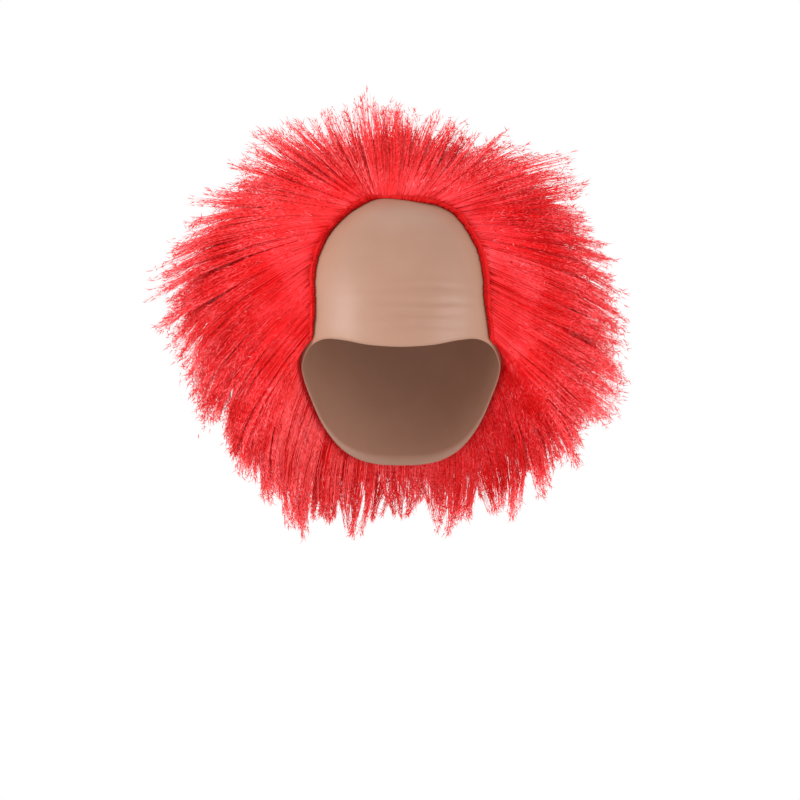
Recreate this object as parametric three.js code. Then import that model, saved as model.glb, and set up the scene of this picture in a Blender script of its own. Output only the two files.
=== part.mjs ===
// A bald costume wig: a moulded latex skull cap that is bare over the forehead and the front of the
// crown, with rings of teased red fibre hair sewn to it from the hairline round the ears to the nape.
// Millimetres, +Z up, the face side towards -Y and the wearer's left towards +X.
// The origin is the inside of the crown, where the top of the head sits.
import * as THREE from "three";
import { mergeVertices } from "three/addons/utils/BufferGeometryUtils.js";

// The head that fills the cap, measured to the cap's inside
const head = {
  halfWidth: 75,
  frontReach: 94,
  backReach: 101,
  crownDepth: 96, // from the crown down to the widest level
  napeDepth: 105, // from the widest level down to the nape
  roundness: 2.3, // exponent of the head's sections: 2 is an ellipse, more is squarer
  sideTaper: 0.22, // share of the half width lost at the nape
  backTaper: 0.36, // share of the back reach lost at the nape
  backCurve: 1.5, // exponent of the curve from the back of the head into the neck
};

// The latex cap
const cap = {
  wall: 1.2,
  columns: 42,
  rings: 14,
  ringCurve: 1.7, // exponent that draws the rings together towards the crown
  colour: 0xcfa890,
};

// The cap's edge: how far below the crown it lies, every 15 degrees from the brow round to the nape
const capEdge = [
  { azimuth: 0, drop: 113 }, // brow
  { azimuth: 15, drop: 111.5 },
  { azimuth: 30, drop: 108 },
  { azimuth: 45, drop: 107 }, // temple
  { azimuth: 60, drop: 112 },
  { azimuth: 75, drop: 122 },
  { azimuth: 90, drop: 131 }, // above the ear
  { azimuth: 105, drop: 146 },
  { azimuth: 120, drop: 170 }, // behind the ear
  { azimuth: 135, drop: 187 },
  { azimuth: 150, drop: 196 },
  { azimuth: 165, drop: 200 },
  { azimuth: 180, drop: 201 }, // nape
];

// The hair's outer row, once round the cap: where it is sewn on, and how far out its tips stand
const hairRing = [
  { rootX: 0, rootY: 70, rootZ: -190, tipX: 0, tipY: 62, tipZ: -250 }, // nape
  { rootX: 40, rootY: 61, rootZ: -184, tipX: 38, tipY: 57, tipZ: -252 },
  { rootX: 60, rootY: 47, rootZ: -164, tipX: 67, tipY: 44, tipZ: -250 },
  { rootX: 70, rootY: 30, rootZ: -141, tipX: 88, tipY: 32, tipZ: -233 }, // behind the left ear
  { rootX: 74, rootY: 9, rootZ: -129, tipX: 108, tipY: 22, tipZ: -228 },
  { rootX: 72, rootY: -26, rootZ: -117.5, tipX: 124, tipY: 12, tipZ: -212 }, // above the left ear
  { rootX: 67, rootY: -45, rootZ: -110.5, tipX: 138, tipY: 2, tipZ: -194 },
  { rootX: 63.5, rootY: -57.5, rootZ: -104, tipX: 137, tipY: -5, tipZ: -175 }, // gap between bunches
  { rootX: 62, rootY: -61, rootZ: -93, tipX: 161, tipY: -10, tipZ: -160 }, // left temple
  { rootX: 59.5, rootY: -63, rootZ: -78.5, tipX: 169, tipY: -14, tipZ: -136 },
  { rootX: 58.5, rootY: -58.5, rootZ: -62, tipX: 170, tipY: -16, tipZ: -112 },
  { rootX: 55.5, rootY: -53, rootZ: -45.5, tipX: 166, tipY: -18, tipZ: -87 },
  { rootX: 50.5, rootY: -49.5, rootZ: -34, tipX: 161, tipY: -18, tipZ: -61 },
  { rootX: 46, rootY: -46, rootZ: -26.5, tipX: 155, tipY: -18, tipZ: -35 },
  { rootX: 41.5, rootY: -42, rootZ: -20, tipX: 137, tipY: -17, tipZ: -17 }, // gap
  { rootX: 37.5, rootY: -38.5, rootZ: -15.5, tipX: 141, tipY: -16, tipZ: 4 },
  { rootX: 26, rootY: -38.5, rootZ: -9.5, tipX: 116, tipY: -16, tipZ: 30 },
  { rootX: 18, rootY: -40.5, rootZ: -8, tipX: 84, tipY: -15, tipZ: 44 },
  { rootX: 12, rootY: -40.5, rootZ: -7, tipX: 53, tipY: -14, tipZ: 48 },
  { rootX: 5, rootY: -38.5, rootZ: -5.5, tipX: 29, tipY: -13, tipZ: 63 },
  { rootX: -6, rootY: -33.5, rootZ: -4, tipX: 3, tipY: -12, tipZ: 70 }, // crown
  { rootX: -15.5, rootY: -28, rootZ: -4, tipX: -28, tipY: -12, tipZ: 72 },
  { rootX: -21, rootY: -28.5, rootZ: -5, tipX: -60, tipY: -12, tipZ: 66 }, // gap
  { rootX: -24, rootY: -30.5, rootZ: -6.5, tipX: -87, tipY: -13, tipZ: 62 },
  { rootX: -27.5, rootY: -34, rootZ: -8.5, tipX: -109, tipY: -14, tipZ: 45 },
  { rootX: -30.5, rootY: -36, rootZ: -10.5, tipX: -127, tipY: -15, tipZ: 25 },
  { rootX: -33, rootY: -37, rootZ: -12, tipX: -120, tipY: -16, tipZ: 7 }, // gap
  { rootX: -36.5, rootY: -37.5, rootZ: -14.5, tipX: -150, tipY: -16, tipZ: 1 },
  { rootX: -39.5, rootY: -39.5, rootZ: -17.5, tipX: -166, tipY: -17, tipZ: -27 },
  { rootX: -44, rootY: -41.5, rootZ: -22, tipX: -176, tipY: -18, tipZ: -50 },
  { rootX: -49, rootY: -43, rootZ: -27.5, tipX: -184, tipY: -18, tipZ: -70 },
  { rootX: -51.5, rootY: -43.5, rootZ: -31, tipX: -171, tipY: -18, tipZ: -82 }, // gap
  { rootX: -53.5, rootY: -44.5, rootZ: -35, tipX: -181, tipY: -17, tipZ: -97 },
  { rootX: -57, rootY: -47, rootZ: -42.5, tipX: -171, tipY: -16, tipZ: -123 },
  { rootX: -60.5, rootY: -50.5, rootZ: -54, tipX: -158, tipY: -14, tipZ: -150 },
  { rootX: -61.5, rootY: -57, rootZ: -69, tipX: -146, tipY: -12, tipZ: -170 },
  { rootX: -61, rootY: -60.5, rootZ: -81.5, tipX: -133, tipY: -8, tipZ: -182 },
  { rootX: -62, rootY: -61, rootZ: -93, tipX: -125, tipY: -5, tipZ: -198 }, // right temple
  { rootX: -63.5, rootY: -57.5, rootZ: -104, tipX: -117, tipY: -2, tipZ: -214 },
  { rootX: -67, rootY: -45, rootZ: -110.5, tipX: -107, tipY: 3, tipZ: -224 },
  { rootX: -72, rootY: -26, rootZ: -117.5, tipX: -97, tipY: 8, tipZ: -229 }, // above the right ear
  { rootX: -74, rootY: 9, rootZ: -129, tipX: -88, tipY: 14, tipZ: -234 },
  { rootX: -70, rootY: 30, rootZ: -141, tipX: -82, tipY: 24, tipZ: -242 }, // behind the right ear
  { rootX: -60, rootY: 47, rootZ: -164, tipX: -74, tipY: 36, tipZ: -261 },
  { rootX: -48, rootY: 56, rootZ: -179, tipX: -56, tipY: 46, tipZ: -253 },
  { rootX: -30, rootY: 65, rootZ: -187, tipX: -32, tipY: 58, tipZ: -253 },
];

// The hair's form behind that row
const hair = {
  centre: new THREE.Vector3(0, 0, -77), // the point inside the head that the hair stands out from
  backTip: new THREE.Vector3(0, 182, -108), // end of the hair straight behind the head
  fullness: 0.85, // exponent of the hair's round outline from the rim to the back, 1 is an ellipse
  backDelay: 1.2, // exponent that keeps the tips of the middle rows from lying too far back
  lift: 0.34, // share of its length that a lock rises off the cap before it bends
  drift: 0.5, // share of its way sideways to the tip that it has gone by then
  sag: 0.1, // share of its length that a lock that stands out level sinks there under its weight
  sewGap: 1, // between the cap and the row sewn on it
  rowGap: 0.05, // share of a row's depth left free between it and the next
  track: 0.3, // share of a row's depth that is sewn to the cap
  spread: 0.12, // share of its length at which a row has its full depth
  steps: 5, // cross-sections along a lock
  cleft: 0.83, // how far up a lock's length it is joined to its neighbours
  lockTaper: 5, // exponent of a lock's taper: the more, the longer it stays thick
  cleftTaper: 2, // the same in the cleft
  shortest: 0.92, // length of the shortest lock, as a share of the longest
  sway: 0.3, // how far a lock's tip leans to one side, as a share of the locks' spacing
  colour: 0xdf1f24,
};

// The sewn rows, from the hairline (0) to the back of the head (1)
const wefts = [
  { name: "hairline_weft", from: 0, to: 0.13, locks: 46 },
  { name: "second_weft", from: 0.13, to: 0.28, locks: 44 },
  { name: "third_weft", from: 0.28, to: 0.45, locks: 38 },
  { name: "fourth_weft", from: 0.45, to: 0.63, locks: 32 },
  { name: "fifth_weft", from: 0.63, to: 0.82, locks: 24 },
  { name: "back_weft", from: 0.82, to: 0.99, locks: 12 },
];

const goldenShare = (Math.sqrt(5) - 1) / 2; // steps of this share spread evenly and never repeat
const backwards = new THREE.Vector3(0, 1, 0);

// The head's half width and its reach to front and back at a level, as shares of the largest
function headShares(drop) {
  if (drop <= head.crownDepth) {
    const above = 1 - drop / head.crownDepth;
    const share = (1 - above ** head.roundness) ** (1 / head.roundness);
    return { side: share, front: share, back: share };
  }
  const below = (drop - head.crownDepth) / head.napeDepth;
  return {
    side: 1 - head.sideTaper * below ** 2,
    front: 1,
    back: 1 - head.backTaper * below ** head.backCurve,
  };
}

// How far out a point lies: 1 on the head's surface, less inside it
function headLevel(point) {
  const drop = -point.z;
  const k = head.roundness;
  const shares = headShares(Math.max(drop, head.crownDepth));
  const reach = point.y < 0 ? head.frontReach * shares.front : head.backReach * shares.back;
  const sum = (Math.abs(point.x) / (head.halfWidth * shares.side)) ** k + (Math.abs(point.y) / reach) ** k;
  const above = Math.max(0, 1 - drop / head.crownDepth);
  return (sum + above ** k) ** (1 / k);
}

// The outward direction at a point of the head's surface
function headNormal(point) {
  const step = 0.05;
  const slope = (axis) => {
    const shift = new THREE.Vector3().setComponent(axis, step);
    return headLevel(point.clone().add(shift)) - headLevel(point.clone().sub(shift));
  };
  return new THREE.Vector3(slope(0), slope(1), slope(2)).normalize();
}

// The point where a ray from the hair's centre leaves the head
function headAlong(direction) {
  let inside = 0;
  let outside = 3 * head.backReach;
  for (let halving = 0; halving < 40; halving++) {
    const middle = (inside + outside) / 2;
    const level = headLevel(hair.centre.clone().addScaledVector(direction, middle));
    if (level < 1) inside = middle;
    else outside = middle;
  }
  return hair.centre.clone().addScaledVector(direction, inside);
}

// A closed solid between two skins that go once round: pointAt(column, row, skin) gives a corner,
// with skin 0 outside and skin 1 inside, and the skins are joined along the first and last rows
function twoSkinned(columns, rows, pointAt) {
  const corners = [];
  const triangle = (a, b, c) => {
    if (a.equals(b) || b.equals(c) || c.equals(a)) return;
    corners.push(a, b, c);
  };
  const quad = (a, b, c, d) => {
    triangle(a, b, c);
    triangle(a, c, d);
  };
  const grid = [0, 1].map((skin) =>
    Array.from({ length: columns }, (_, column) =>
      Array.from({ length: rows + 1 }, (_, row) => pointAt(column, row, skin)),
    ),
  );
  const [outer, inner] = grid;
  for (let i = 0; i < columns; i++) {
    const next = (i + 1) % columns;
    for (let j = 0; j < rows; j++) {
      quad(outer[i][j], outer[i][j + 1], outer[next][j + 1], outer[next][j]);
      triangle(inner[i][j], inner[next][j + 1], inner[i][j + 1]);
      triangle(inner[i][j], inner[next][j], inner[next][j + 1]);
    }
    quad(inner[i][0], outer[i][0], outer[next][0], inner[next][0]);
    quad(outer[i][rows], inner[i][rows], inner[next][rows], outer[next][rows]);
  }
  const geometry = mergeVertices(new THREE.BufferGeometry().setFromPoints(corners));
  geometry.computeVertexNormals();
  return geometry;
}

// The latex cap: the head's surface from the crown down to the cap's edge, and a wall's thickness outside it
function baldCap() {
  const edge = new THREE.SplineCurve(capEdge.map((row) => new THREE.Vector2(row.azimuth, row.drop)));
  const power = (value) => Math.sign(value) * Math.abs(value) ** (2 / head.roundness);
  const pointAt = (column, row, skin) => {
    const lift = skin === 0 ? cap.wall : 0;
    if (row === 0) return new THREE.Vector3(0, 0, lift);
    const azimuth = (column / cap.columns) * 2 * Math.PI;
    const fromFront = Math.min(azimuth, 2 * Math.PI - azimuth) / Math.PI;
    const drop = edge.getPoint(fromFront).y * (row / cap.rings) ** cap.ringCurve;
    const shares = headShares(drop);
    const ahead = Math.cos(azimuth);
    const reach = ahead > 0 ? head.frontReach * shares.front : head.backReach * shares.back;
    const x = head.halfWidth * shares.side * power(Math.sin(azimuth));
    const point = new THREE.Vector3(x, -reach * power(ahead), -drop);
    return point.addScaledVector(headNormal(point), lift);
  };
  return twoSkinned(cap.columns, cap.rings, pointAt);
}

const ringCurve = (name) =>
  new THREE.CatmullRomCurve3(
    hairRing.map((row) => new THREE.Vector3(row[name + "X"], row[name + "Y"], row[name + "Z"])),
    true,
    "catmullrom",
  );
const rootRing = ringCurve("root");
const tipRing = ringCurve("tip");

// A point of the hair: around the ring, back from the hairline to the back of the head, and along its
// length. It rises off the cap, drifting sideways, and bends over towards its tip.
function hairPoint(around, back, along) {
  const turn = around - Math.floor(around);
  const outwards = rootRing.getPoint(turn).sub(hair.centre).normalize();
  const surface = headAlong(outwards.lerp(backwards, back).normalize());
  const normal = headNormal(surface);
  const root = surface.addScaledVector(normal, cap.wall + hair.sewGap);
  const quarter = (back ** hair.backDelay * Math.PI) / 2;
  const tip = hair.centre
    .clone()
    .addScaledVector(tipRing.getPoint(turn).sub(hair.centre), Math.cos(quarter) ** hair.fullness)
    .addScaledVector(hair.backTip.clone().sub(hair.centre), Math.sin(quarter) ** hair.fullness);
  const sideways = tip.clone().sub(root).projectOnPlane(normal);
  const length = root.distanceTo(tip);
  const bend = root.clone().addScaledVector(normal, hair.lift * length).addScaledVector(sideways, hair.drift);
  bend.z -= hair.sag * length * (1 - Math.abs(normal.z));
  return new THREE.QuadraticBezierCurve3(root, bend, tip).getPoint(along);
}

// One sewn row of hair: a track on the cap, and locks that are joined up to their clefts and end in points.
// Even columns run up the middle of a lock, and odd ones up the cleft beside it.
function weft(row, index) {
  const depth = row.to - row.from;
  const pointAt = (column, step, skin) => {
    const lock = Math.floor(column / 2);
    const isCleft = column % 2 === 1;
    const chance = (lock * goldenShare + index / wefts.length) % 1;
    const length = isCleft ? hair.cleft : hair.shortest + (1 - hair.shortest) * chance;
    const share = step / hair.steps;
    const along = length * share;
    const lean = isCleft ? 0 : hair.sway * Math.sin(2 * Math.PI * chance) * share ** 2;
    const around = (column / 2 + lean + (index % 2) / 2) / row.locks;
    const fan = Math.min(1, along / hair.spread);
    const front = row.from + hair.rowGap * depth * fan;
    const rear = row.to - depth * (1 - hair.track) * (1 - fan) - hair.rowGap * depth;
    const middle = (front + rear) / 2;
    const half = ((rear - front) / 2) * (1 - share ** (isCleft ? hair.cleftTaper : hair.lockTaper));
    return hairPoint(around, skin === 0 ? middle - half : middle + half, along);
  };
  return twoSkinned(2 * row.locks, hair.steps, pointAt);
}

const latex = new THREE.MeshStandardMaterial({ color: cap.colour, roughness: 0.55, metalness: 0 });
const fibre = new THREE.MeshStandardMaterial({ color: hair.colour, roughness: 0.5, metalness: 0 });

function piece(name, geometry, material) {
  const mesh = new THREE.Mesh(geometry, material);
  mesh.name = name;
  return mesh;
}

const wig = new THREE.Group();
wig.add(piece("bald_cap", baldCap(), latex));
wefts.forEach((row, index) => wig.add(piece(row.name, weft(row, index), fibre)));

export default wig;
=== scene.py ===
import math

import bpy
import numpy as np
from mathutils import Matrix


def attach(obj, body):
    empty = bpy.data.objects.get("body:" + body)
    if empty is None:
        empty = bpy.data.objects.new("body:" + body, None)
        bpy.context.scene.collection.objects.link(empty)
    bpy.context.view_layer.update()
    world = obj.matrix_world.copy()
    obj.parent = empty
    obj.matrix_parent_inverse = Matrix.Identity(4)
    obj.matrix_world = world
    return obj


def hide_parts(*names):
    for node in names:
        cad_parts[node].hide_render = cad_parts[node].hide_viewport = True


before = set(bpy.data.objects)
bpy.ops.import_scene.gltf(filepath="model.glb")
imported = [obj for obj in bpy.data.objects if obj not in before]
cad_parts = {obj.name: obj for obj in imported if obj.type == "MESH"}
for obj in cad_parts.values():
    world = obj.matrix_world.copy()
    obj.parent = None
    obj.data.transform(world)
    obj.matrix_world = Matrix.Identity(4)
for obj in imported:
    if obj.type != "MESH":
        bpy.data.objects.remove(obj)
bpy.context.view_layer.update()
print("frame loaded, nodes:", sorted(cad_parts))

millimetre = 0.001
randomDraw = np.random.default_rng(20)
goldenShare = (math.sqrt(5) - 1) / 2


# hex colour as seen on a screen to the linear colour that a shader takes
def hexToLinear(text):
    parts = np.array([int(text[i : i + 2], 16) for i in (1, 3, 5)]) / 255
    linear = np.where(parts <= 0.04045, parts / 12.92, ((parts + 0.055) / 1.055) ** 2.4)
    return (*linear.tolist(), 1.0)


# adds one node: settings are its own properties, values go on sockets, links join sources to sockets
def addNode(material, kind, values=None, links=None, **settings):
    tree = material.node_tree
    node = tree.nodes.new(kind)
    for name, value in settings.items():
        setattr(node, name, value)
    for socket, value in (values or {}).items():
        node.inputs[socket].default_value = value
    for socket, source in (links or {}).items():
        tree.links.new(source, node.inputs[socket])
    return node


# colours along a value: the first and last stop take the ramp's own two marks, the rest go between
def addRamp(material, source, stops):
    ramp = addNode(material, "ShaderNodeValToRGB", links={"Fac": source})
    marks = ramp.color_ramp.elements
    for mark, (position, colour) in zip((marks[0], marks[1]), (stops[0], stops[-1])):
        mark.position = position
        mark.color = colour
    for position, colour in stops[1:-1]:
        marks.new(position).color = colour
    return ramp


# a new material with no nodes yet
def emptyMaterial(name):
    material = bpy.data.materials.new(name)
    material.use_nodes = True
    material.node_tree.nodes.clear()
    return material


# puts whole arrays into a mesh: points in millimetres, triangles as rows of three,
# and for each point its values and its place on the fibre map
def meshFromArrays(name, points, triangles, material, values=None, places=None, smooth=True):
    mesh = bpy.data.meshes.new(name)
    mesh.vertices.add(len(points))
    mesh.vertices.foreach_set("co", (points * millimetre).astype(np.float32).ravel())
    mesh.loops.add(triangles.size)
    mesh.loops.foreach_set("vertex_index", triangles.astype(np.int32).ravel())
    mesh.polygons.add(len(triangles))
    mesh.polygons.foreach_set("loop_start", np.arange(0, triangles.size, 3, dtype=np.int32))
    for valueName, perPoint in (values or {}).items():
        layer = mesh.attributes.new(valueName, "FLOAT", "POINT")
        layer.data.foreach_set("value", perPoint.astype(np.float32).ravel())
    if places is not None:
        layer = mesh.uv_layers.new(name="fibreMap")
        layer.data.foreach_set("uv", places[triangles.ravel()].astype(np.float32).ravel())
    mesh.update(calc_edges=True)
    isSmooth = np.array(np.broadcast_to(smooth, len(triangles)))
    mesh.polygons.foreach_set("use_smooth", isSmooth)
    mesh.materials.append(material)
    piece = bpy.data.objects.new(name, mesh)
    bpy.context.scene.collection.objects.link(piece)
    return piece


# two triangles for each quad, whose corners are given in turn
def quadTriangles(a, b, c, d):
    halves = (np.stack([a, b, c], -1), np.stack([a, c, d], -1))
    return np.concatenate([half.reshape(-1, 3) for half in halves])


# the form that the cap is moulded on, in millimetres
headForm = dict(
    halfWidth=75,
    frontReach=94,
    backReach=101,
    crownDepth=96,  # crown down to the widest level
    napeDepth=105,  # widest level down to the nape
    roundness=2.3,  # 2 is an ellipse, more is squarer
    sideTaper=0.22,  # how much narrower it is at the nape
    backTaper=0.36,  # how much less it reaches back there
    backCurve=1.5,  # exponent of that taper
    rayReach=3.0,  # in back reaches: well outside the form
    rayHalvings=34,
)


# half width, front and back reach at a level, as shares of the largest:
# a superellipse above the widest level, and a slow taper to the nape below it
def headShares(drop):
    h = headForm
    above = np.clip(1 - drop / h["crownDepth"], 0, 1)
    dome = np.clip(1 - above ** h["roundness"], 0, None) ** (1 / h["roundness"])
    below = np.clip((drop - h["crownDepth"]) / h["napeDepth"], 0, None)
    side = dome * (1 - h["sideTaper"] * below**2)
    back = dome * (1 - h["backTaper"] * below ** h["backCurve"])
    return side, dome, back


# how far out points lie: 1 on the form, less inside it. It is the superellipsoid's own formula,
# (x^k + y^k + z^k)^(1/k) with each term taken as a share of the form's reach that way
def headLevel(points):
    h = headForm
    k = h["roundness"]
    drop = -points[..., 2]
    side, front, back = headShares(np.maximum(drop, h["crownDepth"]))
    reach = np.where(points[..., 1] < 0, h["frontReach"] * front, h["backReach"] * back)
    across = np.abs(points[..., 0]) / (h["halfWidth"] * side)
    ahead = np.abs(points[..., 1]) / reach
    above = np.clip(1 - drop / h["crownDepth"], 0, None)
    return (across**k + ahead**k + above**k) ** (1 / k)


# unit vectors
def unit(vectors):
    return vectors / np.maximum(np.linalg.norm(vectors, axis=-1, keepdims=True), 1e-9)


# outward direction on the form: the slope of the level, by small steps each way
def headNormal(points):
    step = 0.05
    shifts = np.eye(3) * step
    slopes = [headLevel(points + shift) - headLevel(points - shift) for shift in shifts]
    return unit(np.stack(slopes, axis=-1))


# where rays from the hair's centre leave the form, by halving
def headAlong(directions):
    h = headForm
    inside = np.zeros(directions.shape[:-1])
    outside = np.full(directions.shape[:-1], h["rayReach"] * h["backReach"])
    for halving in range(h["rayHalvings"]):
        middle = (inside + outside) / 2
        isInside = headLevel(hairForm["centre"] + directions * middle[..., None]) < 1
        inside = np.where(isInside, middle, inside)
        outside = np.where(isInside, outside, middle)
    return hairForm["centre"] + directions * inside[..., None]


# latex, poured in a mould and powdered: even, soft-edged and almost without gloss, with a fine skin grain
def makeLatex():
    material = emptyMaterial("moulded latex")
    where = addNode(material, "ShaderNodeTexCoord").outputs["Object"]
    mottle = addNode(  # clouds of colour about 25 mm across, as pigment settles in the mould
        material,
        "ShaderNodeTexNoise",
        {"Scale": 1 / 0.025, "Detail": 3.0, "Roughness": 0.55},
        {"Vector": where},
    )
    skinTones = [(0.3, hexToLinear("#97705b")), (0.72, hexToLinear("#9b7561"))]
    tone = addRamp(material, mottle.outputs["Fac"], skinTones)
    grain = addNode(  # skin grain, 1.6 mm across
        material,
        "ShaderNodeTexNoise",
        {"Scale": 1 / 0.0016, "Detail": 2.0, "Roughness": 0.5},
        {"Vector": where},
    )
    relief = addNode(
        material,
        "ShaderNodeBump",
        {"Strength": 0.12, "Distance": 0.0003},
        {"Height": grain.outputs["Fac"]},
    )
    shader = addNode(
        material,
        "ShaderNodeBsdfPrincipled",
        {"Roughness": 0.5, "IOR": 1.5, "Specular IOR Level": 0.5},
        {"Base Color": tone.outputs["Color"], "Normal": relief.outputs["Normal"]},
    )
    addNode(material, "ShaderNodeOutputMaterial", links={"Surface": shader.outputs["BSDF"]})
    return material


# colours of the fibre by how openly it lies, from the sewing to the thin ends: its own red with painted
# light in it, painted shade in the sewing and deep in the mass, a painted highlight where it lies straight,
# and painted pale light at the thin ends
fibreColoursWithPaintedLight = [
    (0.0, "#cc0302"),
    (0.02, "#da0a0a"),  # painted shade in the sewing
    (0.06, "#ff555d"),  # painted highlight where it lies straight
    (0.26, "#fd4249"),
    # painted shade deep inside the mass
    (0.45, "#ee1c20"),
    (0.75, "#fb4c52"),
    # painted pale pink light at the thin ends, where light shows through them
    (1.0, "#ff8a92"),
]

# colours of the crimp, from bends turned away to bends turned to the light
crimpColours = [(0.36, "#cc151b"), (0.5, "#f62c32"), (0.66, "#ff969c")]

# how rough the fibre is: most in the sewing, least where it lies straight, more again where it is crimped
fibreRoughness = [(0.0, 0.8), (0.08, 0.36), (0.35, 0.36), (0.6, 0.5)]


# a pattern on the fibre map, whose grain is given across and along the fibres in metres
def addFibrePattern(material, place, across, along, detail, roughness):
    stretch = addNode(
        material,
        "ShaderNodeMapping",
        {"Scale": (1 / across, 1 / along, 1.0)},
        {"Vector": place},
    )
    return addNode(
        material,
        "ShaderNodeTexNoise",
        {"Scale": 1.0, "Detail": detail, "Roughness": roughness},
        {"Vector": stretch.outputs["Vector"]},
        noise_dimensions="2D",
    ).outputs["Fac"]


# dyed synthetic fibre, crimped and back-combed: strong red, with painted light in its colour: a painted
# pinkish highlight where it lies straight, painted shade of deep red in the sewing and inside the mass, and
# painted pale pink light at the thin ends. The map runs across the fibres by along them, in metres
def makeFibre():
    material = emptyMaterial("crimped synthetic fibre")
    openness = addNode(material, "ShaderNodeAttribute", attribute_name="openness").outputs["Fac"]
    place = addNode(material, "ShaderNodeUVMap", uv_map="fibreMap").outputs["UV"]
    where = addNode(material, "ShaderNodeTexCoord").outputs["Object"]
    # fibres are 0.08 mm thick, drawn as bundles 1.2 mm wide so that they show; crimp waves are 2.5 mm long
    streak = addFibrePattern(material, place, 0.0012, 0.02, 2.0, 0.6)
    crimp = addFibrePattern(material, place, 0.0016, 0.0025, 1.0, 0.5)
    paintedWaveShade = addNode(  # painted light and shade of broad waves in the mass, about 30 mm across
        material,
        "ShaderNodeTexNoise",
        {"Scale": 1 / 0.03, "Detail": 1.0, "Roughness": 0.5},
        {"Vector": where},
    ).outputs["Fac"]
    # painted light along the strand: painted shade in the sewing and deep in the mass, painted highlight
    # where it lies straight, painted pale light at the ends
    length = addRamp(material, openness, [(share, hexToLinear(text)) for share, text in fibreColoursWithPaintedLight])
    bends = addRamp(material, crimp, [(share, hexToLinear(text)) for share, text in crimpColours])
    crimped = addNode(  # the crimp begins close to the sewing and grows outwards
        material,
        "ShaderNodeMapRange",
        {"From Min": 0.06, "From Max": 0.65, "To Min": 0.0, "To Max": 0.7},
        {"Value": openness},
    )
    colour = addNode(
        material,
        "ShaderNodeMix",
        {},
        {
            "Factor": crimped.outputs["Result"],
            "A": length.outputs["Color"],
            "B": bends.outputs["Color"],
        },
        data_type="RGBA",
    )
    # painted shade: the colour is darkened in the gaps between fibre bundles and where the broad waves turn
    # from the light
    for pattern, deep, low, high in ((streak, "#f7acac", 0.32, 0.6), (paintedWaveShade, "#f49a9a", 0.38, 0.6)):
        shade = addRamp(material, pattern, [(low, hexToLinear(deep)), (high, hexToLinear("#ffffff"))])
        colour = addNode(
            material,
            "ShaderNodeMix",
            {"Factor": 1.0},
            {"A": colour.outputs["Result"], "B": shade.outputs["Color"]},
            data_type="RGBA",
            blend_type="MULTIPLY",
        )
    wave = addNode(material, "ShaderNodeMath", links={0: crimp, 1: openness}, operation="MULTIPLY")
    height = addNode(
        material,
        "ShaderNodeMath",
        links={0: streak, 1: wave.outputs["Value"]},
        operation="ADD",
    )
    relief = addNode(
        material,
        "ShaderNodeBump",
        {"Strength": 0.3, "Distance": 0.0005},
        {"Height": height.outputs["Value"]},
    )
    polish = addRamp(material, openness, [(share, (grey, grey, grey, 1)) for share, grey in fibreRoughness])
    shader = addNode(
        material,
        "ShaderNodeBsdfPrincipled",
        {"IOR": 1.5, "Specular IOR Level": 0.25},
        {
            "Base Color": colour.outputs["Result"],
            "Normal": relief.outputs["Normal"],
            "Roughness": polish.outputs["Color"],
        },
    )
    addNode(material, "ShaderNodeOutputMaterial", links={"Surface": shader.outputs["BSDF"]})
    return material


latex = makeLatex()
fibre = makeFibre()
print("materials made")


# the latex cap, in millimetres
capForm = dict(
    wall=1.2,
    edgeWall=0.6,  # the edge is cast thinner
    thinFrom=0.94,  # share of the way from crown to edge where the wall begins to thin
    columns=192,
    outerRows=72,
    innerRows=36,
    rowCurve=1.45,  # draws the rows together towards the crown
    # depth of the edge below the crown, from brow to nape, every 15 degrees
    edgeDrops=[113, 111.5, 108, 107, 112, 122, 131, 146, 170, 187, 196, 200, 201],
)

# how the moulded lines across the forehead run, in millimetres
foreheadForm = dict(
    start=35,  # distance in front of the crown where they begin
    fade=30,  # and over which they reach their depth
    spread=32,  # how far they run to each side of the deepest place
    wave=0.7,  # how far they waver up and down
    waveTurn=9,  # distance for each radian of that wave
    rim=0.55,  # height of the swelling beside a line, as a share of the depth
    rimPlace=1.9,  # its distance from the line, in line widths
)

# the lines: height, depth and width in millimetres, where each is deepest, and its slope
foreheadLines = [
    dict(height=-71, depth=0.5, width=1.8, middle=12, slope=0.02),
    dict(height=-81, depth=0.7, width=2.0, middle=16, slope=-0.02),
    dict(height=-90, depth=0.75, width=2.0, middle=8, slope=0.03),
    dict(height=-98, depth=0.6, width=1.8, middle=18, slope=-0.01),
]


# a smooth curve through evenly spaced values, uniform Catmull-Rom: each piece leaves a value along the line
# between its neighbours. A closed one goes round, an open one repeats its end slope
def smoothThrough(values, share, closed):
    values = np.asarray(values, float)
    count = len(values)
    if closed:
        place = (share % 1) * count
        start = np.floor(place).astype(int)
        corners = [values[(start + step) % count] for step in (-1, 0, 1, 2)]
    else:
        place = np.clip(share, 0, 1) * (count - 1)
        start = np.minimum(np.floor(place).astype(int), count - 2)
        corners = [values[np.clip(start + step, 0, count - 1)] for step in (-1, 0, 1, 2)]
    w = place - start
    if values.ndim > 1:
        w = w[..., None]
    before, here, after, beyond = corners
    leave = 0.5 * (after - before)
    arrive = 0.5 * (beyond - here)
    return (
        here * (2 * w**3 - 3 * w**2 + 1)
        + leave * (w**3 - 2 * w**2 + w)
        + after * (3 * w**2 - 2 * w**3)
        + arrive * (w**3 - w**2)
    )


# a sine or cosine drawn out to the superellipse: its size to the power of 2 / roundness, with its sign
def squarer(value):
    return np.sign(value) * np.abs(value) ** (2 / headForm["roundness"])


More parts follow.
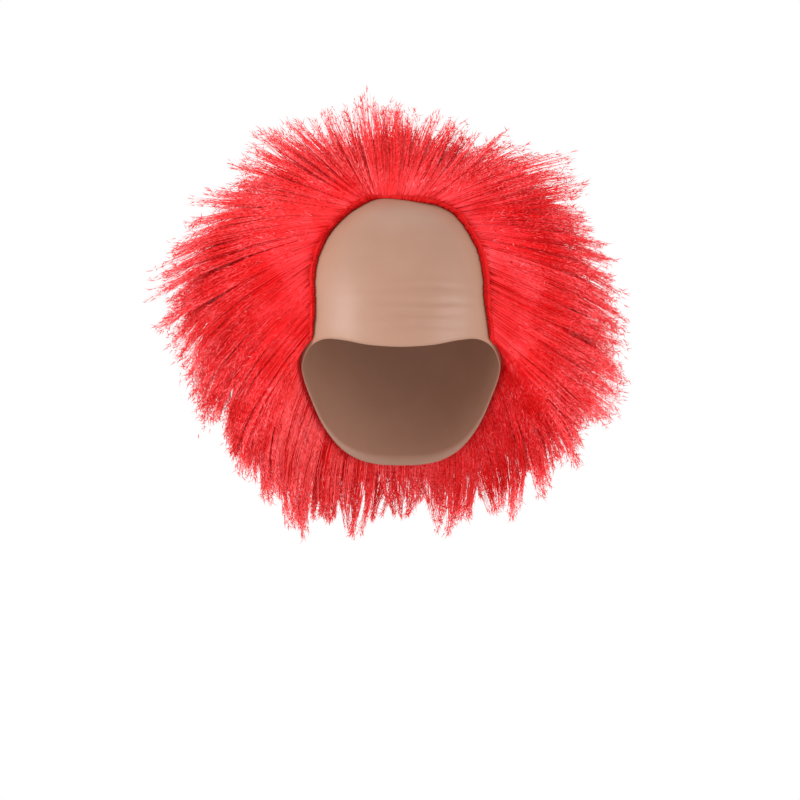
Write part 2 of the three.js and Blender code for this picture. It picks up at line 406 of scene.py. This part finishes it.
# depth of the forehead lines at points of the cap: each is a bell-shaped groove with a swelling on both
# sides, deepest in one place and gone where the cap turns away from the front
def foreheadDepth(points):
    f = foreheadForm
    x = points[..., 0]
    onForehead = np.clip((-points[..., 1] - f["start"]) / f["fade"], 0, 1)
    depth = np.zeros(x.shape)
    for line in foreheadLines:
        waver = f["wave"] * np.sin(x / f["waveTurn"] + line["middle"])
        level = line["height"] + line["slope"] * x + waver
        along = np.exp(-(((x - line["middle"]) / f["spread"]) ** 2))
        across = (points[..., 2] - level) / line["width"]
        groove = np.exp(-(across**2)) - f["rim"] * np.exp(-((np.abs(across) - f["rimPlace"]) ** 2))
        depth = depth + line["depth"] * groove * along * onForehead
    return depth


# the cap on a grid of azimuth by rows: out over the form from the crown to the edge, round the edge,
# and back up the inside. A point is the form's section at that level, moved out by the wall
def makeCap():
    c = capForm
    h = headForm
    azimuth = np.arange(c["columns"]) / c["columns"] * 2 * np.pi
    fromFront = np.minimum(azimuth, 2 * np.pi - azimuth) / np.pi
    edge = smoothThrough(c["edgeDrops"], fromFront, closed=False)
    down = (np.arange(1, c["outerRows"] + 1) / c["outerRows"]) ** c["rowCurve"]
    up = (np.arange(c["innerRows"], 0, -1) / c["innerRows"]) ** c["rowCurve"]
    share = np.concatenate([down, up])
    isOuter = np.concatenate([np.ones(c["outerRows"]), np.zeros(c["innerRows"])])
    drop = edge[:, None] * share[None, :]
    side, front, back = headShares(drop)
    ahead = np.cos(azimuth)[:, None]
    reach = np.where(ahead > 0, h["frontReach"] * front, h["backReach"] * back)
    x = h["halfWidth"] * side * squarer(np.sin(azimuth))[:, None]
    points = np.stack([x, -reach * squarer(ahead), -drop], axis=-1)
    thin = np.clip((share - c["thinFrom"]) / (1 - c["thinFrom"]), 0, 1)
    wall = c["wall"] + (c["edgeWall"] - c["wall"]) * thin
    lift = (wall[None, :] - foreheadDepth(points)) * isOuter[None, :]
    points = points + headNormal(points) * lift[..., None]
    rows = len(share)
    poles = np.array([[0, 0, c["wall"]], [0, 0, 0]])
    flat = np.concatenate([points.reshape(-1, 3), poles])
    here = np.arange(c["columns"])[:, None] * rows
    beside = np.roll(here, -1, axis=0)
    row = np.arange(rows - 1)[None, :]
    walls = quadTriangles(here + row, here + row + 1, beside + row + 1, beside + row)
    first, firstBeside = here[:, 0], beside[:, 0]
    last, lastBeside = first + rows - 1, firstBeside + rows - 1
    top = np.full(c["columns"], len(flat) - 2)
    under = np.full(c["columns"], len(flat) - 1)
    crown = np.stack([top, first, firstBeside], -1)
    inside = np.stack([last, under, lastBeside], -1)
    return meshFromArrays("latex_cap", flat, np.concatenate([walls, crown, inside]), latex)


latexCap = makeCap()
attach(latexCap, "root")
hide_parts("bald_cap")
print("cap made, triangles:", len(latexCap.data.polygons))


# the hair's outer row, once round the cap from the nape, in millimetres:
# x, y and z of the root on the cap, then of the tip in the air
hairRing = np.array(
    [
        [0, 70, -190, 0, 62, -250],  # nape
        [40, 61, -184, 38, 57, -252],
        [60, 47, -164, 67, 44, -250],
        [70, 30, -141, 88, 32, -233],  # rear corner, left
        [74, 9, -129, 108, 22, -228],
        [72, -26, -117.5, 124, 12, -212],  # lower edge, left
        [67, -45, -110.5, 138, 2, -194],
        [63.5, -57.5, -104, 137, -5, -175],  # gap between bunches
        [62, -61, -93, 161, -10, -160],  # left temple
        [59.5, -63, -78.5, 169, -14, -136],
        [58.5, -58.5, -62, 170, -16, -112],
        [55.5, -53, -45.5, 166, -18, -87],
        [50.5, -49.5, -34, 161, -18, -61],
        [46, -46, -26.5, 155, -18, -35],
        [41.5, -42, -20, 137, -17, -17],  # gap
        [37.5, -38.5, -15.5, 141, -16, 4],
        [26, -38.5, -9.5, 116, -16, 30],
        [18, -40.5, -8, 84, -15, 44],
        [12, -40.5, -7, 53, -14, 48],
        [5, -38.5, -5.5, 29, -13, 63],
        [-6, -33.5, -4, 3, -12, 70],  # crown
        [-15.5, -28, -4, -28, -12, 72],
        [-21, -28.5, -5, -60, -12, 66],  # gap
        [-24, -30.5, -6.5, -87, -13, 62],
        [-27.5, -34, -8.5, -109, -14, 45],
        [-30.5, -36, -10.5, -127, -15, 25],
        [-33, -37, -12, -120, -16, 7],  # gap
        [-36.5, -37.5, -14.5, -150, -16, 1],
        [-39.5, -39.5, -17.5, -166, -17, -27],
        [-44, -41.5, -22, -176, -18, -50],
        [-49, -43, -27.5, -184, -18, -70],
        [-51.5, -43.5, -31, -171, -18, -82],  # gap
        [-53.5, -44.5, -35, -181, -17, -97],
        [-57, -47, -42.5, -171, -16, -123],
        [-60.5, -50.5, -54, -158, -14, -150],
        [-61.5, -57, -69, -146, -12, -170],
        [-61, -60.5, -81.5, -133, -8, -182],
        [-62, -61, -93, -125, -5, -198],  # right temple
        [-63.5, -57.5, -104, -117, -2, -214],
        [-67, -45, -110.5, -107, 3, -224],
        [-72, -26, -117.5, -97, 8, -229],  # lower edge, right
        [-74, 9, -129, -88, 14, -234],
        [-70, 30, -141, -82, 24, -242],  # rear corner, right
        [-60, 47, -164, -74, 36, -261],
        [-48, 56, -179, -56, 46, -253],
        [-30, 65, -187, -32, 58, -253],
    ],
    float,
)

# how the hair stands, in millimetres and shares of a strand's length
hairForm = dict(
    centre=np.array([0.0, 0.0, -77.0]),  # roots lie on rays from here
    backTip=np.array([0.0, 182.0, -108.0]),  # where the rearmost tips meet
    fullness=0.85,  # exponent of the superellipse that the tips follow: less is squarer
    backDelay=1.2,  # more than 1 keeps the tips of the front rows forward
    lift=0.34,  # how far a strand rises off the cap before it turns
    drift=0.5,  # how far it has leaned towards its tip by then
    sag=0.1,  # how far it drops where the cap is upright
    sewGap=1.0,  # between cap and root
    shortest=0.92,  # shortest lock, as a share of the longest
    hangShorter=0.16,  # how much shorter still it can be where the hair hangs
    hangBehind=0.14,  # and how much shorter all locks behind the first row are there
    hangFrom=-150,  # hair hangs where its tips are lower than this
    hangOver=60,  # and hangs fully this much lower
    sway=0.18,  # how far a lock leans to one side, in lock widths
)

# the sewn rows: solid that each stands for, its share of the way from hairline to back, its locks and the
# body's columns in each; the share of its depth in front of its body, and how many strands are combed along
# its front, stand loose and stick out as fuzz
hairRows = [
    dict(
        name="hairline_hair", node="hairline_weft", start=0.0, end=0.13, locks=46, columns=8,
        inset=0.2, combed=2600, loose=1300, fuzz=20000,
    ),
    dict(
        name="second_hair", node="second_weft", start=0.13, end=0.28, locks=44, columns=8,
        inset=0.0, combed=0, loose=4500, fuzz=25000,
    ),
    dict(
        name="third_hair", node="third_weft", start=0.28, end=0.45, locks=38, columns=8,
        inset=0.0, combed=0, loose=3400, fuzz=22000,
    ),
    dict(
        name="fourth_hair", node="fourth_weft", start=0.45, end=0.63, locks=32, columns=10,
        inset=0.0, combed=0, loose=2800, fuzz=20000,
    ),
    dict(
        name="fifth_hair", node="fifth_weft", start=0.63, end=0.82, locks=24, columns=12,
        inset=0.0, combed=0, loose=3000, fuzz=20000,
    ),
    dict(
        name="back_hair", node="back_weft", start=0.82, end=0.99, locks=12, columns=16,
        inset=0.0, combed=0, loose=1900, fuzz=13000,
    ),
]

# the row's body, the mass of hair that the strands stand out of: thin layers with ragged ends
bodyForm = dict(
    layers=3,
    steps=5,
    layerGap=0.06,  # share of a layer's depth left free on each side
    reach=0.6,  # shortest points of the ragged end, as a share of a lock's length
    reachMore=0.22,  # how much longer the longest are
    notch=0.82,  # length of the body in the gaps between locks, as a share of a lock's
    rearLess=0.26,  # how much shorter the body is at the back
    tooth=0.1,  # how much shorter every other column is
    hangLess=0.22,  # how much shorter the body is where the hair hangs
    point=2,  # exponent of a layer's taper: the more, the longer it stays thick
    tilt=0.4,  # how far the points of the ragged end lie in front of or behind each other, in layers
    shadedRootOpenness=0.42,  # how openly the body lies at its root, which paints it in the deep red of the painted shade inside the mass
    openness=0.12,  # and how much more at its end
    mapWidth=0.9,  # metres of fibre map once round
)

# the rolled edge along the hairline, where the hair turns over the sewing, in millimetres
rollForm = dict(
    columns=528,
    sides=7,
    thick=2.8,  # radius at the temples
    thin=0.9,  # and elsewhere
    facing=0.6,  # it is thick where the hair rises at least this much sideways
    lowest=-112,  # and thin below this height
    fade=10,  # with a change over this distance
    press=1.2,  # how deep it is pressed into the sewing
    ridge=0.2,  # how uneven it is, as a share of its radius
    ridgeLimit=1.5,  # in standard deviations
    riseAt=0.1,  # share along the hair that gives the direction it rises in
    aroundStep=0.004,  # share round the ring that gives the direction of the edge
    fold=(-0.3, 1.0),  # where the combed strands start on it, in radians towards the bald patch
    mapLength=0.7,  # metres of fibre map once round
    hairs=1500,  # short hairs that lie across it
    hairSides=3,  # they start on the first sides, from the top towards the bald patch
    hairLength=(4, 9),
    hairAim=0.2,  # share along the hair that they point to
    hairRise=0.5,  # how far they rise off the cap
    hairTurn=0.3,  # and stray
    # the short hairs across it are painted in the dark red of the sewing: painted shade
    hairOpenness=(0, 0.05),
)

# strands and the wisps that they draw together to, in millimetres
strandForm = dict(
    wisps=5,  # in each lock
    wispWidth=0.24,  # as a share of the lock's
    wispShift=0.06,  # how far a wisp is off its even place in the lock
    wispLength=(0.96, 1.02),  # as a share of the lock's
    depthSpread=0.16,  # how far strands lie in front of or behind their wisp, as a share of the depth
    combedRings=5,  # cross-sections along a strand
    looseRings=4,
    fuzzRings=2,
    ringCurve=1.2,  # more than 1 draws the cross-sections together towards the root
    combedStart=0.05,  # they start anywhere up to here
    combedDepth=0.18,  # the combed strands keep to this share of the row's depth
    foldFade=4,  # exponent: more brings them off the rolled edge sooner
    looseStart=0.25,  # where loose strands leave the body, as a share of their length
    startCurve=0.5,  # less than 1 brings most starts near the last possible one
    notch=0.94,  # length of the wisps in the gaps between locks, as a share of a lock's
    notchCurve=0.7,  # less than 1 makes the gaps narrower
    clump=0.15,  # how far wisps draw together towards their lock's point
    hangClump=0.45,  # how much more they do so where the hair hangs
    gather=0.34,  # how far strands draw together towards their wisp's point
    hangGather=0.5,  # how much more they do so where the hair hangs
    gatherCurve=2.5,  # more than 1 leaves it to the ends
    longest=1.04,  # longest strand, as a share of its wisp
    ragged=0.07,  # how much shorter the shortest is
    groove=0.05,  # depth of the gaps between locks, as a share of the row's depth
    rootWidth=0.55,
    tipWidth=0.5,
    widthCurve=1.5,  # more than 1 keeps the root's width for longer
    widthSpread=(0.75, 1.25),  # some strands are thicker than others
    frizz=1.4,  # how far a strand wanders off its line
    frizzLimit=2,  # in standard deviations
    stray=3.5,  # how far a wisp's point lies off its place
    strayLimit=1.5,
    fuzzWidth=0.7,
    fuzzLength=(2.5, 6),
    fuzzFrom=0.12,  # the fuzz starts at this share of the strands' length
    fuzzCurve=1.5,  # more than 1 brings most of it near the ends
    fuzzAim=0.05,  # share along the strand that gives the direction it starts in
    fuzzTurn=0.5,  # how far it turns away
    fuzzRearTurn=0.5,  # how much more at the back, where the hair is back-combed most
    fuzzProud=0.35,  # how far the fuzz on the combed strands turns to the front
    fuzzPaleShare=0.75,  # this share of the fuzz catches the light, and the rest lies in shade
    fuzzPale=(0.8, 1.0),
    fuzzDark=(0.0, 0.02),
    hangOpenness=0.4,  # hanging hair is painted without the highlight at its roots, in the deep red of the painted shade
    fibreLength=125.0,  # for the fibre map
)


# points of the hair for arrays of: share round the ring, share of the way to the back, share along.
# A strand is a quadratic Bezier curve: root on the cap, off the cap with a drift sideways, and over to the
# tip. Tips go from the front ring to the back as the two axes of a superellipse
def hairPoint(around, back, along):
    f = hairForm
    outwards = unit(smoothThrough(hairRing[:, :3], around, closed=True) - f["centre"])
    backwards = np.array([0.0, 1.0, 0.0])
    b = back[..., None]
    surface = headAlong(unit(outwards * (1 - b) + backwards * b))
    normal = headNormal(surface)
    root = surface + normal * (capForm["wall"] + f["sewGap"])
    quarter = b ** f["backDelay"] * np.pi / 2
    ring = smoothThrough(hairRing[:, 3:], around, closed=True) - f["centre"]
    tip = (
        f["centre"]
        + ring * np.clip(np.cos(quarter), 0, None) ** f["fullness"]
        + (f["backTip"] - f["centre"]) * np.sin(quarter) ** f["fullness"]
    )
    way = tip - root
    length = np.linalg.norm(way, axis=-1, keepdims=True)
    sideways = way - normal * np.sum(way * normal, axis=-1, keepdims=True)
    bend = root + normal * f["lift"] * length + sideways * f["drift"]
    bend[..., 2] -= f["sag"] * length[..., 0] * (1 - np.abs(normal[..., 2]))
    t = along[..., None]
    return root * (1 - t) ** 2 + bend * 2 * t * (1 - t) + tip * t**2


# points of one row, whose own depth goes from 0 at its front to 1 at its rear
def rowPoint(row, around, depth, along):
    return hairPoint(around, row["start"] + (row["end"] - row["start"]) * depth, along)


# how far the hair hangs: 0 where it stands, 1 where its tips are lowest
def hanging(around):
    height = smoothThrough(hairRing[:, 5], around, closed=True)
    return np.clip((hairForm["hangFrom"] - height) / hairForm["hangOver"], 0, 1)


# length and place of locks: lengths are spread by the golden ratio, places lean to one side or the other
# with the square of the share along, and every other row is moved by half a lock
def lockLayout(row, index, lock, share):
    f = hairForm
    chance = (lock * goldenShare + index / len(hairRows)) % 1
    place = lock + (index % 2) / 2
    hang = hanging(place / row["locks"])
    shortest = f["shortest"] - f["hangShorter"] * hang
    behind = 1 - f["hangBehind"] * hang * (index > 0)
    lean = f["sway"] * np.sin(2 * np.pi * chance) * share**2
    return (shortest + (1 - shortest) * chance) * behind, place + lean


# two directions across lines, at right angles to the line's own slope and to each other
def lineFrames(lines):
    forward = unit(np.gradient(lines, axis=1))
    flattest = np.argmin(np.abs(forward.mean(axis=1)), axis=-1)
    sideways = unit(np.cross(forward, np.eye(3)[flattest][:, None]))
    return sideways, np.cross(forward, sideways)


# points at shares of the way along lines, straight between the rings and on beyond the last
def alongLines(lines, line, share):
    place = share * (lines.shape[1] - 1)
    start = np.clip(place.astype(int), 0, lines.shape[1] - 2)
    w = (place - start)[..., None]
    return lines[line[:, None], start] * (1 - w) + lines[line[:, None], start + 1] * w


# the rolled edge's centre, its directions off the cap and towards the bald patch, and its radius:
# it is thick where the cap faces sideways, down to the lower end of the temples
def rollFrame(around):
    r = rollForm
    front = np.zeros(around.shape)
    foot = hairPoint(around, front, front)
    rise = unit(hairPoint(around, front, front + r["riseAt"]) - foot)
    ahead = hairPoint(around + r["aroundStep"], front, front)
    behind = hairPoint(around - r["aroundStep"], front, front)
    inwards = unit(np.cross(ahead - behind, rise))
    isSide = np.clip(np.abs(rise[..., 0]) / r["facing"], 0, 1)
    isHigh = np.clip((foot[..., 2] - r["lowest"]) / r["fade"], 0, 1)
    radius = (r["thin"] + (r["thick"] - r["thin"]) * isSide * isHigh)[..., None]
    return foot + rise * (radius - r["press"]), rise, inwards, radius


# centre lines of strands, the share along the hair and the openness of each point.
# Each strand starts in its own place on the row and draws in to its wisp's point; wisps draw together
# towards their lock's point, and are shorter at its edges
def strandLines(row, index, count, rings, start, depth):
    s = strandForm
    wisps = row["locks"] * s["wisps"]
    wispSide = (np.arange(wisps) % s["wisps"] + 0.5) / s["wisps"] - 0.5
    wispSide = wispSide + randomDraw.uniform(-s["wispShift"], s["wispShift"], wisps)
    wispBack = randomDraw.random(wisps) * depth
    wispLength = randomDraw.uniform(*s["wispLength"], wisps)
    wisp = np.arange(count) % wisps
    number = np.arange(count) // wisps
    inWisp = (number + randomDraw.random(count)) / (number[-1] + 1) - 0.5
    side = wispSide[wisp] + s["wispWidth"] * inWisp
    back = wispBack[wisp] + randomDraw.normal(0, s["depthSpread"], count) * depth
    back = np.clip(back, 0, depth)
    share = (np.linspace(0, 1, rings) ** s["ringCurve"])[None, :]
    lockLength, lockPlace = lockLayout(row, index, (wisp // s["wisps"])[:, None], share)
    middle = 1 - np.clip(np.abs(2 * wispSide[wisp]), 0, 1)
    edge = s["notch"] + (1 - s["notch"]) * middle ** s["notchCurve"]
    ragged = s["longest"] - s["ragged"] * randomDraw.random(count) ** 2
    strandLength = edge * wispLength[wisp] * ragged
    first = start * randomDraw.random((count, 1)) ** s["startCurve"]
    along = first + (lockLength * strandLength[:, None] - first) * share
    hang = hanging(lockPlace[:, :1] / row["locks"])
    draw = (s["gather"] + s["hangGather"] * hang) * share ** s["gatherCurve"]
    apart = 1 - (s["clump"] + s["hangClump"] * hang) * share
    sides = side[:, None] * (1 - draw) + wispSide[wisp][:, None] * draw * apart
    backs = back[:, None] * (1 - draw) + wispBack[wisp][:, None] * draw
    backs = backs + s["groove"] * (1 - middle)[:, None] * share * (0.5 - backs)
    around = (lockPlace + sides) / row["locks"]
    points = rowPoint(row, around, backs, along)
    if depth < 1:  # combed strands turn over the rolled edge
        centre, rise, inwards, radius = rollFrame(around[:, 0])
        turn = randomDraw.uniform(*rollForm["fold"], (count, 1))
        onRoll = centre + radius * (np.cos(turn) * rise + np.sin(turn) * inwards)
        fade = ((1 - share) ** s["foldFade"])[..., None]
        points = points + (onRoll - points[:, 0])[:, None] * fade
    wander = randomDraw.normal(0, 1, points.shape).clip(-s["frizzLimit"], s["frizzLimit"])
    stray = randomDraw.normal(0, 1, (wisps, 1, 3)).clip(-s["strayLimit"], s["strayLimit"])[wisp]
    t = along[..., None]
    points = points + s["frizz"] * wander * t**2 + s["stray"] * stray * t**3
    return points, along, np.maximum(along, s["hangOpenness"] * hang)


# short fuzz that back-combing pulls out of line, and its openness:
# it starts on a strand, more often towards its end, and turns away
def fuzzLines(points, count, rear, proud):
    s = strandForm
    strand = randomDraw.integers(0, len(points), count)
    place = 1 - (1 - s["fuzzFrom"]) * randomDraw.random((count, 1)) ** s["fuzzCurve"]
    origin = alongLines(points, strand, place)[:, 0]
    forward = unit(alongLines(points, strand, place + s["fuzzAim"])[:, 0] - origin)
    away = randomDraw.normal(0, s["fuzzTurn"] + s["fuzzRearTurn"] * rear, forward.shape)
    turn = unit(forward + away + np.array([0, -proud, 0]))
    length = randomDraw.uniform(*s["fuzzLength"], count)[:, None, None]
    t = np.linspace(0, 1, s["fuzzRings"])[None, :, None]
    isPale = randomDraw.random((count, 1)) < s["fuzzPaleShare"]
    pale = randomDraw.uniform(*s["fuzzPale"], (count, 1))
    dark = randomDraw.uniform(*s["fuzzDark"], (count, 1))
    openness = np.repeat(np.where(isPale, pale, dark), s["fuzzRings"], axis=1)
    return origin[:, None] + length * turn[:, None] * t, openness


# closed strands along lines: a triangle is carried along each line and narrows to a point at the end,
# and the first one closes the start
def strandMesh(lines, radii):
    count, rings = lines.shape[:2]
    sideways, upwards = lineFrames(lines)
    angle = np.arange(3) * 2 * np.pi / 3
    ringPoints = lines[:, :-1, None] + radii[:, :-1, None, None] * (
        np.cos(angle)[:, None] * sideways[:, :-1, None] + np.sin(angle)[:, None] * upwards[:, :-1, None]
    )
    points = np.concatenate([ringPoints.reshape(count, -1, 3), lines[:, -1:]], axis=1)
    ring = np.arange(rings - 2)[:, None] * 3
    corner = np.arange(3)[None, :]
    after = (corner + 1) % 3
    walls = quadTriangles(ring + corner, ring + after, ring + after + 3, ring + corner + 3)
    lastRing = 3 * (rings - 2)
    tip = 3 * (rings - 1)
    point = np.stack([lastRing + corner[0], lastRing + after[0], np.full(3, tip)], -1)
    pattern = np.concatenate([walls, point, [[0, 2, 1]]])
    triangles = pattern[None] + (np.arange(count) * (tip + 1))[:, None, None]
    return points.reshape(-1, 3), triangles.reshape(-1, 3)


# values per ring to values per point of a strand: one for each corner, and one at the tip
def perPoint(values):
    return np.concatenate([np.repeat(values[:, :-1], 3, axis=1), values[:, -1:]], axis=1).ravel()


# strands with the openness and the fibre map's place of every point
def sheafMesh(lines, radii, along, openness):
    points, triangles = strandMesh(lines, radii)
    start = np.repeat(randomDraw.random((len(lines), 1)), lines.shape[1], axis=1)
    places = np.stack([perPoint(start), perPoint(along) * strandForm["fibreLength"] * millimetre], -1)
    return points, triangles, perPoint(openness), places


# radii along strands: half the width from root to tip, with some strands thicker than others
def strandRadii(lines, first, last):
    s = strandForm
    share = np.linspace(0, 1, lines.shape[1])[None, :]
    width = first + (last - first) * share ** s["widthCurve"]
    return 0.5 * width * randomDraw.uniform(*s["widthSpread"], (len(lines), 1))


# triangles of a grid that is closed both ways
def ringTriangles(columns, rows):
    here = np.arange(columns)[:, None] * rows
    beside = np.roll(here, -1, axis=0)
    row = np.arange(rows)[None, :]
    after = (row + 1) % rows
    return quadTriangles(here + row, here + after, beside + after, beside + row)


# one layer of a row's body: a closed section carried once round the ring. It goes up the front from the cap
# to the end and down the rear, and its end is ragged, with points of random length
def layerMesh(row, index, layer):
    b = bodyForm
    columns = row["locks"] * row["columns"]
    column = np.arange(columns)[:, None]
    lock = column // row["columns"]
    side = column % row["columns"] / row["columns"] - 0.5
    rise = np.linspace(0, 1, b["steps"] + 1)[None, :]
    share = np.concatenate([rise, rise[:, -2::-1]], axis=1)
    toRear = np.concatenate([-np.ones(b["steps"] + 1), np.ones(b["steps"])])[None, :]
    lockLength, lockPlace = lockLayout(row, index, lock, share)
    hang = hanging(lockPlace[:, :1] / row["locks"])
    ragged = b["reach"] + b["reachMore"] * randomDraw.random((columns, 1)) - b["tooth"] * (column % 2)
    ragged = ragged - b["hangLess"] * hang - b["rearLess"] * row["start"]
    edge = b["notch"] + (1 - b["notch"]) * (1 - np.abs(2 * side))
    along = lockLength * ragged * edge * share
    half = (0.5 - b["layerGap"]) * (1 - share ** b["point"]) * toRear
    tilt = b["tilt"] * (randomDraw.random((columns, 1)) - 0.5) * share**2
    depth = row["inset"] + (1 - row["inset"]) * (layer + 0.5 + half + tilt) / b["layers"]
    points = rowPoint(row, (lockPlace + side) / row["locks"], depth, along)
    across = np.repeat(column / columns * b["mapWidth"], points.shape[1], axis=1)
    places = np.stack([across, along * strandForm["fibreLength"] * millimetre], -1)
    openness = b["shadedRootOpenness"] + along * b["openness"]
    triangles = ringTriangles(columns, points.shape[1])
    return points.reshape(-1, 3), triangles, openness.ravel(), places.reshape(-1, 2)


# the rolled edge: a round section carried along the hairline, with its fibres running along it,
# and short hairs across it that point along the strands, rise off the cap and stray
def rollMesh():
    r = rollForm
    around = np.arange(r["columns"]) / r["columns"]
    centre, rise, inwards, radius = rollFrame(around)
    angle = (np.arange(r["sides"]) / r["sides"] * 2 * np.pi)[None, :, None]
    outwards = np.cos(angle) * rise[:, None] + np.sin(angle) * inwards[:, None]
    ridges = randomDraw.normal(0, 1, r["columns"]).clip(-r["ridgeLimit"], r["ridgeLimit"])
    uneven = radius[:, 0] * (1 + r["ridge"] * ridges)
    points = centre[:, None] + uneven[:, None, None] * outwards
    across = np.repeat(angle[..., 0] * r["thick"] * millimetre, r["columns"], axis=0)
    length = np.repeat(around[:, None] * r["mapLength"], r["sides"], axis=1)
    places = np.stack([across, length], -1).reshape(-1, 2)
    triangles = ringTriangles(r["columns"], r["sides"])
    # openness 0 paints the rolled edge in the darkest red of the ramp: painted shade of the hair's roots
    roll = points.reshape(-1, 3), triangles, np.zeros(len(places)), places
    column = randomDraw.integers(0, r["columns"], r["hairs"])
    side = randomDraw.integers(0, r["hairSides"], r["hairs"])
    origin = points[column, side]
    front = np.zeros(r["hairs"])
    outer = hairPoint(around[column], front, front + r["hairAim"]) - centre[column]
    stray = randomDraw.normal(0, r["hairTurn"], origin.shape)
    turn = unit(unit(outer) + r["hairRise"] * rise[column] + stray)
    reach = randomDraw.uniform(*r["hairLength"], (r["hairs"], 1))
    hairs = np.stack([origin, origin + turn * reach], axis=1)
    openness = np.repeat(randomDraw.uniform(*r["hairOpenness"], (r["hairs"], 1)), 2, axis=1)
    radii = strandRadii(hairs, strandForm["rootWidth"], strandForm["tipWidth"])
    return roll, sheafMesh(hairs, radii, openness, openness)


# one row of hair: body, loose strands, combed strands, fuzz and rolled edge as one mesh.
# The body is smooth, and strands are flat-sided
def makeHairRow(row, index):
    s = strandForm
    parts = [layerMesh(row, index, layer) for layer in range(bodyForm["layers"])]
    bodyTriangles = sum(len(part[1]) for part in parts)
    loose = strandLines(row, index, row["loose"], s["looseRings"], s["looseStart"], 1.0)
    sheaves = [(loose, 0.0)]
    if row["combed"]:
        parts.extend(rollMesh())
        combed = strandLines(row, index, row["combed"], s["combedRings"], s["combedStart"], s["combedDepth"])
        sheaves.append((combed, s["fuzzProud"]))
    for (strands, along, openness), proud in sheaves:
        radii = strandRadii(strands, s["rootWidth"], s["tipWidth"])
        parts.append(sheafMesh(strands, radii, along, openness))
        share = len(strands) / (row["combed"] + row["loose"])
        fuzz, fuzzOpenness = fuzzLines(strands, int(row["fuzz"] * share), row["start"], proud)
        radii = strandRadii(fuzz, s["fuzzWidth"], s["fuzzWidth"])
        parts.append(sheafMesh(fuzz, radii, fuzzOpenness, fuzzOpenness))
    points, triangles, openness, places = zip(*parts)
    starts = np.cumsum([0] + [len(some) for some in points[:-1]])
    allTriangles = np.concatenate([some + start for some, start in zip(triangles, starts)])
    return meshFromArrays(
        row["name"],
        np.concatenate(points),
        allTriangles,
        fibre,
        {"openness": np.concatenate(openness)},
        np.concatenate(places),
        np.arange(len(allTriangles)) < bodyTriangles,
    )


for index, row in enumerate(hairRows):
    piece = makeHairRow(row, index)
    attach(piece, "root")
    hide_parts(row["node"])
    print(row["name"], "made, triangles:", len(piece.data.polygons))


# camera level with the middle of the photograph's frame, which is 592 mm wide at the hair's front
viewForm = dict(distance=2.2, frameWidth=0.592, middleX=-0.0007, middleZ=-0.151, frontY=-0.02, sensor=36.0)


# the lens is as long for the sensor as the distance is for the frame's width
def makeCamera():
    v = viewForm
    camera = bpy.data.objects.new("camera", bpy.data.cameras.new("camera"))
    camera.data.sensor_width = v["sensor"]
    camera.data.lens = v["sensor"] * v["distance"] / v["frameWidth"]
    camera.location = (v["middleX"], v["frontY"] - v["distance"], v["middleZ"])
    camera.rotation_euler = (math.pi / 2, 0, 0)
    bpy.context.scene.collection.objects.link(camera)
    bpy.context.scene.camera = camera


# soft studio light: place and size in metres, power in watts, and where all lamps point
lamps = [
    dict(name="key", place=(-2.2, -1.0, 0.1), size=1.3, power=46),
    dict(name="fill", place=(2.0, -1.3, -0.3), size=1.6, power=32),
    dict(name="top", place=(0.0, 0.6, 1.8), size=1.6, power=6),
    dict(name="back", place=(0.5, 2.2, 0.4), size=1.6, power=24),
]
lampTarget = np.array([0.0, 0.03, -0.09])


# disk lamps in a white room: each is tilted from straight down by its angle at the target, then turned to it
def makeLamps():
    for lamp in lamps:
        data = bpy.data.lights.new(lamp["name"], "AREA")
        data.shape = "DISK"
        data.size = lamp["size"]
        data.energy = lamp["power"]
        light = bpy.data.objects.new(lamp["name"], data)
        light.location = lamp["place"]
        away = np.array(lamp["place"]) - lampTarget
        tilt = math.atan2(math.hypot(away[0], away[1]), away[2])
        light.rotation_euler = (tilt, 0, math.atan2(away[1], away[0]) + math.pi / 2)
        bpy.context.scene.collection.objects.link(light)
    world = bpy.data.worlds.new("studio")
    world.use_nodes = True
    room = world.node_tree.nodes["Background"]
    room.inputs["Color"].default_value = (1, 1, 1, 1)
    room.inputs["Strength"].default_value = 1.0
    bpy.context.scene.world = world


# painted board floor, pale and matt, well below the hair
floorForm = dict(level=-0.62, half=1.2, steps=8)


# a flat grid of squares
def makeFloor():
    f = floorForm
    side = np.linspace(-f["half"], f["half"], f["steps"] + 1)
    x, y = np.meshgrid(side, side, indexing="ij")
    points = np.stack([x, y, np.full_like(x, f["level"])], -1).reshape(-1, 3) / millimetre
    n = f["steps"] + 1
    i, j = np.meshgrid(np.arange(f["steps"]), np.arange(f["steps"]), indexing="ij")
    triangles = quadTriangles(i * n + j, (i + 1) * n + j, (i + 1) * n + j + 1, i * n + j + 1)
    material = emptyMaterial("matt white board")
    shader = addNode(
        material,
        "ShaderNodeBsdfPrincipled",
        {"Base Color": hexToLinear("#f2f1ef"), "Roughness": 0.9, "Specular IOR Level": 0.2},
    )
    addNode(material, "ShaderNodeOutputMaterial", links={"Surface": shader.outputs["BSDF"]})
    return meshFromArrays("floor", points, triangles, material)


makeCamera()
makeLamps()
makeFloor()
bpy.context.scene.view_settings.view_transform = "Standard"
print("camera, lamps and floor made")
